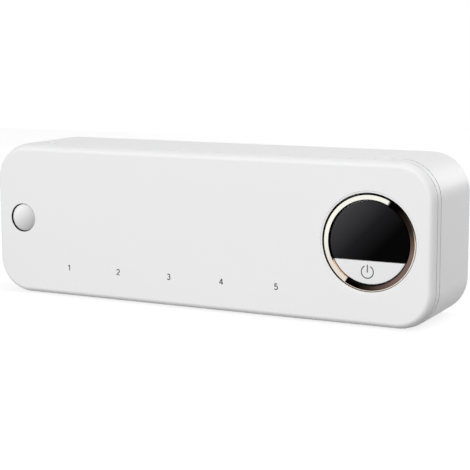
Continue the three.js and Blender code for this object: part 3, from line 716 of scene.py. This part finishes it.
def new_piece(name, bm, material, body, slot_name, *replaced):
    """A finished mesh becomes an object that rides on its body."""
    bmesh.ops.recalc_face_normals(bm, faces=bm.faces)
    mesh = bpy.data.meshes.new(name)
    bm.to_mesh(mesh)
    bm.free()
    mesh.materials.append(material)
    mesh.shade_smooth()
    mesh.set_sharp_from_angle(angle=math.radians(CREASES.get(name, PLAIN_CREASE)))
    piece = bpy.data.objects.new(name, mesh)
    link(piece)
    add_modifier(piece, "WEIGHTED_NORMAL", weight=FLAT_FACE_WEIGHT, keep_sharp=True)
    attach(piece, body)
    if replaced:
        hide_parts(*replaced)


def new_band(name, outlines, material, *places):
    """A piece that is one closed band through outlines, each with its depth."""
    bm = bmesh.new()
    rings = [add_ring(bm, outline, depth) for outline, depth in outlines]
    add_skin(bm, rings + rings[:1])
    new_piece(name, bm, material, *places)


def soften(node, material, bevel):
    """A carried-over part keeps its mesh and gets softened edges and its own finish."""
    mesh = node.data
    if "custom_normal" in mesh.attributes:
        mesh.attributes.remove(mesh.attributes["custom_normal"])
    mesh.shade_smooth()
    mesh.materials.clear()
    mesh.materials.append(material)
    flat, crease = math.radians(FLAT_WITHIN), math.radians(BEVEL_CREASE)
    add_modifier(node, "WELD", merge_threshold=WELD_DISTANCE)
    add_modifier(node, "DECIMATE", decimate_type="DISSOLVE", angle_limit=flat)
    limits = {"limit_method": "ANGLE", "angle_limit": crease, "miter_outer": "MITER_ARC"}
    add_modifier(node, "BEVEL", width=bevel, segments=2, **limits)
    add_modifier(node, "WEIGHTED_NORMAL", weight=FLAT_FACE_WEIGHT)


def measure(node_name):
    """A node's middle, half of its width, and the depths of its front and back."""
    low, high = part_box(node_name)
    return (low + high) / 2, (high.x - low.x) / 2, low.y - FRONT, high.y - FRONT


# Pieces


def soft_inset(depth):
    """How far the soft front edge has drawn in at a depth: a quarter of an ellipse."""
    sizes = settings("cover")
    left = max(0.0, 1 - depth / sizes.edge_depth)
    return sizes.edge_inset * (1 - math.sqrt(1 - left * left))


def cover_mouths():
    """Centre, radius and rounding of the cover's mouths for the ring and for the lens."""
    sizes = settings("cover")
    ring_middle, ring_radius, _, _ = measure("display_ring")
    yield ring_middle, ring_radius + sizes.mouth_gap, sizes.mouth_rounding
    lens_mouth = settings("lens").radius + sizes.lens_gap
    yield measure("sensor_lens")[0], lens_mouth, sizes.lens_rounding


class BuildCoverPanel(bpy.types.Operator):
    """Outer panel of the front cover, with its soft edge and two round mouths"""

    bl_idname = "sterilizer.cover_panel"
    bl_label = "Cover panel"

    def execute(self, context):
        sizes = settings("cover")
        seam, curl = sizes.seam_depth, sizes.seam_rounding
        last = math.acos(1 - (seam - curl) / sizes.edge_depth)
        stations = []
        for k in range(EDGE_STEPS + 1):
            depth = sizes.edge_depth * (1 - math.cos(last * k / EDGE_STEPS))
            stations.append((depth, soft_inset(depth)))
        stations += rounding(seam, soft_inset(seam - curl), curl, MEDIUM_CURL_STEPS, 1)[1:]
        inside = soft_inset(sizes.wall) + sizes.lip
        stations += [(seam, inside), (sizes.wall, inside)]

        bm = bmesh.new()
        rings = [add_ring(bm, body_outline(inset), depth) for depth, inset in stations]
        add_skin(bm, rings)
        front_rings, back_rings = [rings[0]], [rings[-1]]
        for centre, radius, mouth_curl in cover_mouths():
            profile = rounding(radius, 0, mouth_curl, LARGE_CURL_STEPS, -1)
            profile.append((radius, sizes.wall))
            wall = [add_ring(bm, circle(centre, r, MOUTH_STEPS), d) for r, d in profile]
            add_skin(bm, wall)
            front_rings.append(wall[0])
            back_rings.append(wall[-1])
        add_cap(bm, front_rings)
        add_cap(bm, back_rings)
        shell = shell_plastic()
        new_piece("cover_panel_skin", bm, shell, "cover", "shell_white", "front_cover_panel")
        return {"FINISHED"}


class BuildSeals(bpy.types.Operator):
    """Black seals in the cover's two seams, partly painted shade of their gaps, and what lines its
    two mouths: black painted shade and a white collar
    """

    bl_idname = "sterilizer.seals"
    bl_label = "Seals"

    def execute(self, context):
        sizes = settings("cover")
        rubber = black_rubber("black_rubber_seal", settings("finishes").seal)
        frame_back = measure("main_housing")[2]
        # Black rubber in the seams, which also paints the shade of their gaps
        seals = {
            "panel_seal": (sizes.seam_depth - sizes.seam_rounding, sizes.panel_seal),
            "light_seal": (frame_back - sizes.light_seal - PAPER, sizes.light_seal),
        }
        for name, (near, deep) in seals.items():
            skin = soft_inset(near) + sizes.seal_inset
            inner, far = skin + sizes.seal_width, near + deep
            corners = [(skin, near), (skin, far), (inner, far), (inner, near)]
            outlines = [(body_outline(inset), depth) for inset, depth in corners]
            new_band(name, outlines, rubber, "cover", "dark_plastic")

        (ring_middle, ring_mouth, _), (lens_middle, lens_mouth, _) = cover_mouths()
        ring_from = sizes.collar_to + PAPER
        # Black linings on the mouths' walls: painted shade
        linings = {
            "lens_mouth_lining": (lens_middle, lens_mouth, sizes.lining, sizes.shade_lining_from),
            "ring_mouth_lining": (ring_middle, ring_mouth, sizes.ring_lining, ring_from),
        }
        for name, (middle, mouth, wall, near) in linings.items():
            outer, inner, far = mouth - PAPER, mouth - wall, sizes.shade_lining_to
            profile = [(outer, near), (inner, near), (inner, far), (outer, far)]
            outlines = [(circle(middle, r, MOUTH_STEPS), depth) for r, depth in profile]
            new_band(name, outlines, rubber, "cover", "dark_plastic")

        near, far = sizes.collar_from, sizes.collar_to
        outer, inner = ring_mouth - PAPER, ring_mouth - sizes.collar
        shifted = ring_middle + Vector((-sizes.collar_shift, 0, sizes.collar_shift))
        curled = rounding(inner, near, near / 2, SMALL_CURL_STEPS, -1)
        profile = [(ring_middle, outer, near)]
        profile += [(shifted, radius, depth) for radius, depth in curled]
        profile += [(shifted, inner, far), (ring_middle, outer, far)]
        outlines = [(circle(middle, r, RING_STEPS), depth) for middle, r, depth in profile]
        new_band("ring_mouth_collar", outlines, shell_plastic(), "cover", "shell_white")
        return {"FINISHED"}


class BuildDisplayRing(bpy.types.Operator):
    """Turned metal ring round the display"""

    bl_idname = "sterilizer.display_ring"
    bl_label = "Display ring"

    def execute(self, context):
        sizes = settings("display")
        centre, outer, near, far = measure("display_ring")
        inner = outer - sizes.ring_width
        curl, small = sizes.ring_outer_bevel, sizes.ring_inner_bevel
        fallen = near + sizes.ring_fall
        lip = inner + sizes.ring_chamfer
        profile = [(outer, far)] + rounding(outer, fallen, curl, LARGE_CURL_STEPS, 1)[::-1]
        profile += rounding(lip, near, small, MEDIUM_CURL_STEPS, -1)
        profile += [(inner, near + sizes.ring_chamfer_depth), (inner, far)]
        outlines = [(circle(centre, r, RING_STEPS), depth) for r, depth in profile]
        # The ring's colour paints its reflection and shade by angle
        metal = ring_painted_reflection(centre, outer - curl, lip + small / 2)
        places = "housing", "champagne_metal", "display_ring"
        new_band("display_ring_turned", outlines, metal, *places)
        return {"FINISHED"}


def disc_part(bm, centre, radius, chord, above, near, far, bevel):
    """One of the two parts of the disc inside the ring, either side of a chord."""
    sign = 1 if above else -1
    stations = [(d, -inward) for inward, d in rounding(0, near, bevel, SMALL_CURL_STEPS, 1)]
    rings = []
    for depth, inset in [*stations, (far, 0.0)]:
        reach = radius - inset
        line = (chord - centre.z) * sign + inset
        start = math.asin(line / reach)
        sweep = math.pi - 2 * start
        outline = arc(centre.x, centre.z, reach, sign * reach, start, sweep, DISC_STEPS)
        rings.append(add_ring(bm, outline, depth))
    add_skin(bm, rings)
    bm.faces.new(rings[0])
    bm.faces.new(rings[-1])


class BuildDisplayGlass(bpy.types.Operator):
    """Black glass of the display, above the chord"""

    bl_idname = "sterilizer.display_glass"
    bl_label = "Display glass"

    def execute(self, context):
        centre = measure("display_ring")[0]
        _, radius, near, far = measure("display_glass")
        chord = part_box("display_glass")[0].z
        bm = bmesh.new()
        disc_part(bm, centre, radius, chord, True, near, far, settings("display").glass_bevel)
        # The glass's colour paints a reflection across it
        glass = printed_glass(centre, radius)
        new_piece("display_glass_ground", bm, glass, "housing", "display_black", "display_glass")
        return {"FINISHED"}


class BuildPowerButton(bpy.types.Operator):
    """White power button below the chord, with its guides and its printed symbol"""

    bl_idname = "sterilizer.power_button"
    bl_label = "Power button"

    def execute(self, context):
        sizes = settings("display")
        tints = settings("finishes")
        ring = measure("display_ring")[0]
        _, radius, _, back = measure("display_glass")
        _, _, near, stem_end = measure("power_button")
        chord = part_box("power_button")[1].z
        bm = bmesh.new()
        disc_part(bm, ring, radius, chord, False, near, back, sizes.button_bevel)
        guide = sizes.guide_below, sizes.guide_radius, back + sizes.guide_length
        posts = [
            (0, sizes.stem_below, sizes.stem_radius, stem_end),
            (-sizes.guide_spread, *guide),
            (sizes.guide_spread, *guide),
        ]
        for aside, below, post_radius, end in posts:
            centre = Vector((ring.x + aside, 0, ring.z - below))
            tip = sizes.guide_radius / 4
            profile = [(0, back), (post_radius, back), (post_radius, end - tip)]
            profile += [(post_radius - tip, end), (0, end)]
            lathe(bm, centre, profile, POST_STEPS)
        white = satin_moulded_abs("button_abs_satin", tints.button)
        new_piece("power_button_face", bm, white, "button", "shell_white", "power_button")
        self.print_symbol(ring, near, sizes, tints)
        return {"FINISHED"}

    def print_symbol(self, ring, face, sizes, tints):
        middle = Vector((ring.x - sizes.symbol_aside, 0, sizes.symbol_above))
        radius = sizes.symbol_radius
        start = math.pi / 2 + sizes.symbol_opening
        sweep = 2 * math.pi - 2 * sizes.symbol_opening
        round_line = arc(middle.x, middle.z, radius, radius, start, sweep, SYMBOL_STEPS)
        bar = [(middle.x, middle.z + radius * height) for height in SYMBOL_BAR]
        bm = bmesh.new()
        near, far = face - sizes.symbol_proud, face + sizes.symbol_proud
        for line in (round_line, bar):
            add_stroke(bm, line, sizes.symbol_stroke / 2, near, far)
        ink = printed_ink("symbol_ink_grey", tints.symbol_ink)
        new_piece("power_symbol", bm, ink, "button", "shell_white")


def add_stroke(bm, line, half, near, far):
    """A flat line of ink with a given half width, through points seen from the front."""
    left, right = [], []
    for k, (x, z) in enumerate(line):
        before, after = line[max(k - 1, 0)], line[min(k + 1, len(line) - 1)]
        along = Vector((after[0] - before[0], after[1] - before[1])).normalized()
        arriving = Vector((x - before[0], z - before[1]))
        bend = along.dot(arriving.normalized()) if 0 < k < len(line) - 1 else 1
        reach = half / bend
        left.append((x - along.y * reach, z + along.x * reach))
        right.append((x + along.y * reach, z - along.x * reach))
    outline = left + right[::-1]
    rings = [add_ring(bm, outline, near), add_ring(bm, outline, far)]
    add_skin(bm, rings)
    for ring in rings:
        for k in range(len(left) - 1):
            other = len(outline) - 1 - k
            bm.faces.new((ring[k], ring[k + 1], ring[other - 1], ring[other]))


class BuildSensorLens(bpy.types.Operator):
    """Milky domed lens of the motion sensor"""

    bl_idname = "sterilizer.sensor_lens"
    bl_label = "Sensor lens"

    def execute(self, context):
        sizes = settings("lens")
        centre, flange, crown, back = measure("sensor_lens")
        outside = self.dome(sizes.radius, crown, sizes.rise)
        # A soft corner takes the place of the dome's rim
        edge = sizes.wall / 4
        rim = outside.pop()
        outside += [(rim[0] - edge / 2, rim[1] - edge / 8), (rim[0], rim[1] + edge)]
        inside = self.dome(sizes.radius - sizes.wall, crown + sizes.wall, sizes.rise)
        front = back - sizes.flange
        foot = [(sizes.radius, front), (flange, front), (flange, back), (inside[-1][0], back)]
        bm = bmesh.new()
        lathe(bm, centre, outside + foot + inside[::-1], LENS_STEPS)
        # The lens's colour paints shade across it
        milky = milky_polyethylene(centre, sizes.radius)
        new_piece("sensor_lens_dome", bm, milky, "housing", "milky_lens", "sensor_lens")
        return {"FINISHED"}

    def dome(self, radius, top, rise):
        """Radius and depth of points from a dome's middle to its rim."""
        sphere = (radius * radius + rise * rise) / (2 * rise)
        outs = [radius * k / DOME_STEPS for k in range(DOME_STEPS + 1)]
        return [(out, top + sphere - math.sqrt(sphere * sphere - out * out)) for out in outs]


def bow(x, z, wide, high, start, end):
    """Points of part of an ellipse, its angles in degrees."""
    sweep = math.radians(end - start)
    return arc(x, z, wide, high, math.radians(start), sweep, BOW_STEPS)


# Lines of each number, in shares of its height from its middle
NUMBER_SHARES = {
    1: [[(-0.2, 0.24), (0.04, 0.45)], [(0.05, 0.5), (0.05, -0.5)]],
    2: [bow(0, 0.2, 0.27, 0.26, 165, -35) + [(-0.28, -0.46), (0.3, -0.46)]],
    3: [bow(-0.02, 0.23, 0.24, 0.23, 150, -80), bow(-0.02, -0.22, 0.28, 0.25, 85, -150)],
    4: [
        [(0.12, -0.5), (0.12, 0.5)],
        [(0.08, 0.45), (-0.3, -0.18)],
        [(-0.36, -0.22), (0.32, -0.22)],
    ],
    5: [[(0.24, 0.46), (-0.17, 0.46), (-0.22, 0.02)] + bow(-0.01, -0.17, 0.28, 0.29, 128, -150)],
}


class BuildNumbers(bpy.types.Operator):
    """Printed numbers, one below each brush place"""

    bl_idname = "sterilizer.numbers"
    bl_label = "Numbers"

    def execute(self, context):
        sizes = settings("numbers")
        ink = printed_ink("number_ink_grey", settings("finishes").ink)
        places = sorted(n for n in NODES if n.startswith("lamp_emitter_"))
        for k, node_name in enumerate(places, start=1):
            middle = measure(node_name)[0].x
            bm = bmesh.new()
            for line in NUMBER_SHARES[k]:
                height, level = sizes.height, sizes.above
                drawn = [(middle + x * height, level + z * height) for x, z in line]
                add_stroke(bm, drawn, sizes.stroke / 2, -sizes.proud, sizes.proud)
            new_piece(f"number_{k}", bm, ink, "cover", "shell_white")
        return {"FINISHED"}


def cross_outline(centre, reach, width, turn):
    """Outline of a cross recess, turned about the screw's axis."""
    half = width / 2
    outline = []
    for quarter in range(4):
        swing = Matrix.Rotation(turn + quarter * math.pi / 2, 2)
        for corner in ((reach, -half), (reach, half), (half, half)):
            place = swing @ Vector(corner)
            outline.append((centre.x + place.x, centre.z + place.y))
    return outline


class BuildScrews(bpy.types.Operator):
    """Countersunk cross-recess screws that hold the rear cover"""

    bl_idname = "sterilizer.rear_screws"
    bl_label = "Rear screws"

    def execute(self, context):
        sizes = settings("screws")
        tint = settings("finishes").steel
        steel = drawn_metal("nickel_plated_screw", tint, roughness=0.3, line_spacing=0.2 * MM)
        names = sorted(name for name in NODES if name.startswith("rear_screw_"))
        for k, name in enumerate(names):
            centre, radius, tip, back = measure(name)
            profile = [
                (sizes.shank_radius - sizes.tip, tip),
                (sizes.shank_radius, tip + sizes.tip),
                (sizes.shank_radius, back - sizes.head_height),
                (radius, back - sizes.head_rounding),
                (radius - sizes.head_rounding, back),
            ]
            bm = bmesh.new()
            rings = [add_ring(bm, circle(centre, r, SCREW_STEPS), depth) for r, depth in profile]
            add_skin(bm, rings)
            bm.faces.new(rings[0])
            recess = []
            for scale, depth in ((1, back), (sizes.drive_taper, back - sizes.drive_depth)):
                reach, width = sizes.drive_reach * scale, sizes.drive_width * scale
                outline = cross_outline(centre, reach, width, sizes.drive_turn * k)
                recess.append(add_ring(bm, outline, depth))
            add_skin(bm, recess)
            bm.faces.new(recess[1])
            add_cap(bm, [rings[-1], recess[0]])
            new_piece(name + "_turned", bm, steel, "housing", "bright_steel", name)
        return {"FINISHED"}


class FinishCarriedParts(bpy.types.Operator):
    """Softened edges and finishes of the parts that keep their frame mesh"""

    bl_idname = "sterilizer.carried_parts"
    bl_label = "Carried parts"

    def execute(self, context):
        tints = settings("finishes")
        soft, rim = settings("cover").carried_bevel, settings("cover").rim_bevel
        inner = matt_moulded_abs("chamber_abs_matt", tints.inner)
        name = "nickel_plated_steel"
        steel = drawn_metal(name, tints.steel, roughness=0.3, line_spacing=0.4 * MM)
        name = "polished_aluminium_sheet"
        sheet = drawn_metal(name, tints.mirror, roughness=0.12, line_spacing=0.8 * MM)
        dark = black_moulded_plastic("black_nylon_moulded", tints.dark)
        green = circuit_board("green_lacquered_board", tints.board)
        sleeve = shrink_sleeve("shrink_sleeve_blue", tints.sleeve)
        rows = [
            (shell_plastic(), soft, ("main_housing", "rear_cover")),
            (shell_plastic(), rim, ("front_cover_frame",)),
            (inner, soft, ("chamber_liner", "left_bay_cover", "right_bay_cover")),
            (inner, rim, ("brush_rack",)),
            (sheet, THIN_BEVEL, ("reflector_sheet",)),
            (clear_glass("fused_quartz_clear", tints.window), WINDOW_BEVEL, ("lamp_window",)),
            (clear_glass("emitter_lens_clear", tints.emitter), soft, ("lamp_emitter_",)),
            (green, THIN_BEVEL, ("lamp_strip", "main_board", "sensor_board")),
            (dark, soft, ("display_module", "cell_cradle")),
            (dark, SMALL_BEVEL, ("switch_body", "switch_plunger")),
            (sleeve, CELL_BEVEL, ("power_cell",)),
            (steel, SMALL_BEVEL, ("sensor_can", "hinge_pin", "cover_magnet", "steel_keeper")),
            (steel, SOCKET_BEVEL, ("charging_socket",)),
        ]
        for material, bevel, starts in rows:
            for name, node in NODES.items():
                if name.startswith(starts):
                    soften(node, material, bevel)
        return {"FINISHED"}


# Stage


class BuildStage(bpy.types.Operator):
    """Floor, soft light and camera"""

    bl_idname = "sterilizer.stage"
    bl_label = "Stage"

    def execute(self, context):
        sizes = settings("stage")
        self.lay_floor(sizes)
        self.light(sizes)
        self.set_camera(sizes)
        bpy.context.scene.view_settings.view_transform = "Standard"
        return {"FINISHED"}

    def lay_floor(self, sizes):
        half = sizes.floor_size / 2
        corners = [(-half, -half), (half, -half), (half, half), (-half, half)]
        mesh = bpy.data.meshes.new("studio_floor")
        mesh.from_pydata([(x, y, -sizes.floor_gap) for x, y in corners], [], [range(4)])
        floor = bpy.data.objects.new("studio_floor", mesh)
        link(floor)
        material = bpy.data.materials.new("matt_white_paper")
        tree = cleared_tree(material)
        tints = settings("finishes")
        paper = add_node(tree, "BsdfDiffuse", {"Color": tints.floor})
        bounce = add_node(tree, "BsdfDiffuse", {"Color": tints.floor_bounce})
        lift = add_node(tree, "Emission", {"Strength": sizes.floor_lift})
        shaders = {0: paper.outputs["BSDF"], 1: lift.outputs["Emission"]}
        lifted = add_node(tree, "AddShader", shaders).outputs["Shader"]
        shaders = {0: self.seen_straight(tree), 1: bounce.outputs["BSDF"], 2: lifted}
        whole = add_node(tree, "MixShader", shaders).outputs["Shader"]
        add_node(tree, "OutputMaterial", {"Surface": whole})
        mesh.materials.append(material)

    def seen_straight(self, tree):
        """1 for rays from the camera, and those mirrored or let through by a surface."""
        path = add_node(tree, "LightPath").outputs
        first = calculate(tree, "MAXIMUM", path["Is Camera Ray"], path["Is Glossy Ray"])
        return calculate(tree, "MAXIMUM", first, path["Is Transmission Ray"])

    def light(self, sizes):
        world = bpy.data.worlds.new("even_white_studio")
        bpy.context.scene.world = world
        tree = cleared_tree(world)
        strength = onto_range(tree, self.seen_straight(tree), sizes.ambient, 1.0)
        sockets = {"Color": (1.0, 1.0, 1.0, 1.0), "Strength": strength}
        sky = add_node(tree, "Background", sockets)
        add_node(tree, "OutputWorld", {"Surface": sky.outputs["Background"]})
        for name, turns in SOFTBOXES.items():
            self.hang_softbox(name, *map(math.radians, turns), sizes)

    def hang_softbox(self, name, bearing, rise, sizes):
        """A softbox that points at the object. The one in front is wider and isn't mirrored."""
        front = name == "front"
        lamp = bpy.data.lights.new(name + "_softbox", "AREA")
        lamp.shape = "RECTANGLE"
        lamp.size = sizes.front_width if front else sizes.lamp_width
        lamp.size_y = sizes.front_height if front else sizes.lamp_height
        lamp.energy = getattr(sizes, name + "_power")
        holder = bpy.data.objects.new(name + "_softbox", lamp)
        holder.visible_glossy = not front
        holder.rotation_euler = (math.pi / 2 - rise, 0, bearing)
        away = holder.rotation_euler.to_matrix() @ Vector((0, 0, sizes.lamp_distance))
        holder.location = (CAD_BOX[0] + CAD_BOX[1]) / 2 + away
        link(holder)

    def set_camera(self, sizes):
        """Camera at the place from which the photograph was taken, fitted to its outline."""
        place = Matrix.Translation(CAMERA_PLACE)
        level = Matrix.Rotation(sizes.camera_yaw, 4, "Z")
        down = Matrix.Rotation(math.pi / 2 - sizes.camera_pitch, 4, "X")
        data = bpy.data.cameras.new("photo_camera")
        data.lens = sizes.lens_millimetres
        data.sensor_width = FILM_WIDTH
        camera = bpy.data.objects.new("photo_camera", data)
        camera.matrix_world = place @ level @ down @ Matrix.Rotation(sizes.camera_roll, 4, "Z")
        link(camera)
        bpy.context.scene.camera = camera


BUILDERS = [
    BuildCoverPanel,
    BuildSeals,
    BuildDisplayRing,
    BuildDisplayGlass,
    BuildPowerButton,
    BuildSensorLens,
    BuildNumbers,
    BuildScrews,
    FinishCarriedParts,
    BuildStage,
]


class SterilizerPanel(bpy.types.Panel):
    """Lists the builders in the sidebar"""

    bl_label = "Sterilizer"
    bl_idname = "VIEW3D_PT_sterilizer"
    bl_space_type = "VIEW_3D"
    bl_region_type = "UI"
    bl_category = "Sterilizer"

    def draw(self, context):
        for builder in BUILDERS:
            self.layout.operator(builder.bl_idname, text=builder.bl_label)


def register():
    for name, group in GROUPS.items():
        bpy.utils.register_class(group)
        setattr(bpy.types.Scene, "sterilizer_" + name, bpy.props.PointerProperty(type=group))
    for builder in BUILDERS:
        bpy.utils.register_class(builder)
    bpy.utils.register_class(SterilizerPanel)


def unregister():
    bpy.utils.unregister_class(SterilizerPanel)
    for builder in reversed(BUILDERS):
        bpy.utils.unregister_class(builder)
    for name, group in reversed(GROUPS.items()):
        delattr(bpy.types.Scene, "sterilizer_" + name)
        bpy.utils.unregister_class(group)


def main():
    register()
    for builder in BUILDERS:
        family, action = builder.bl_idname.split(".")
        getattr(getattr(bpy.ops, family), action)()
    bpy.context.view_layer.update()


if __name__ == "__main__":
    main()
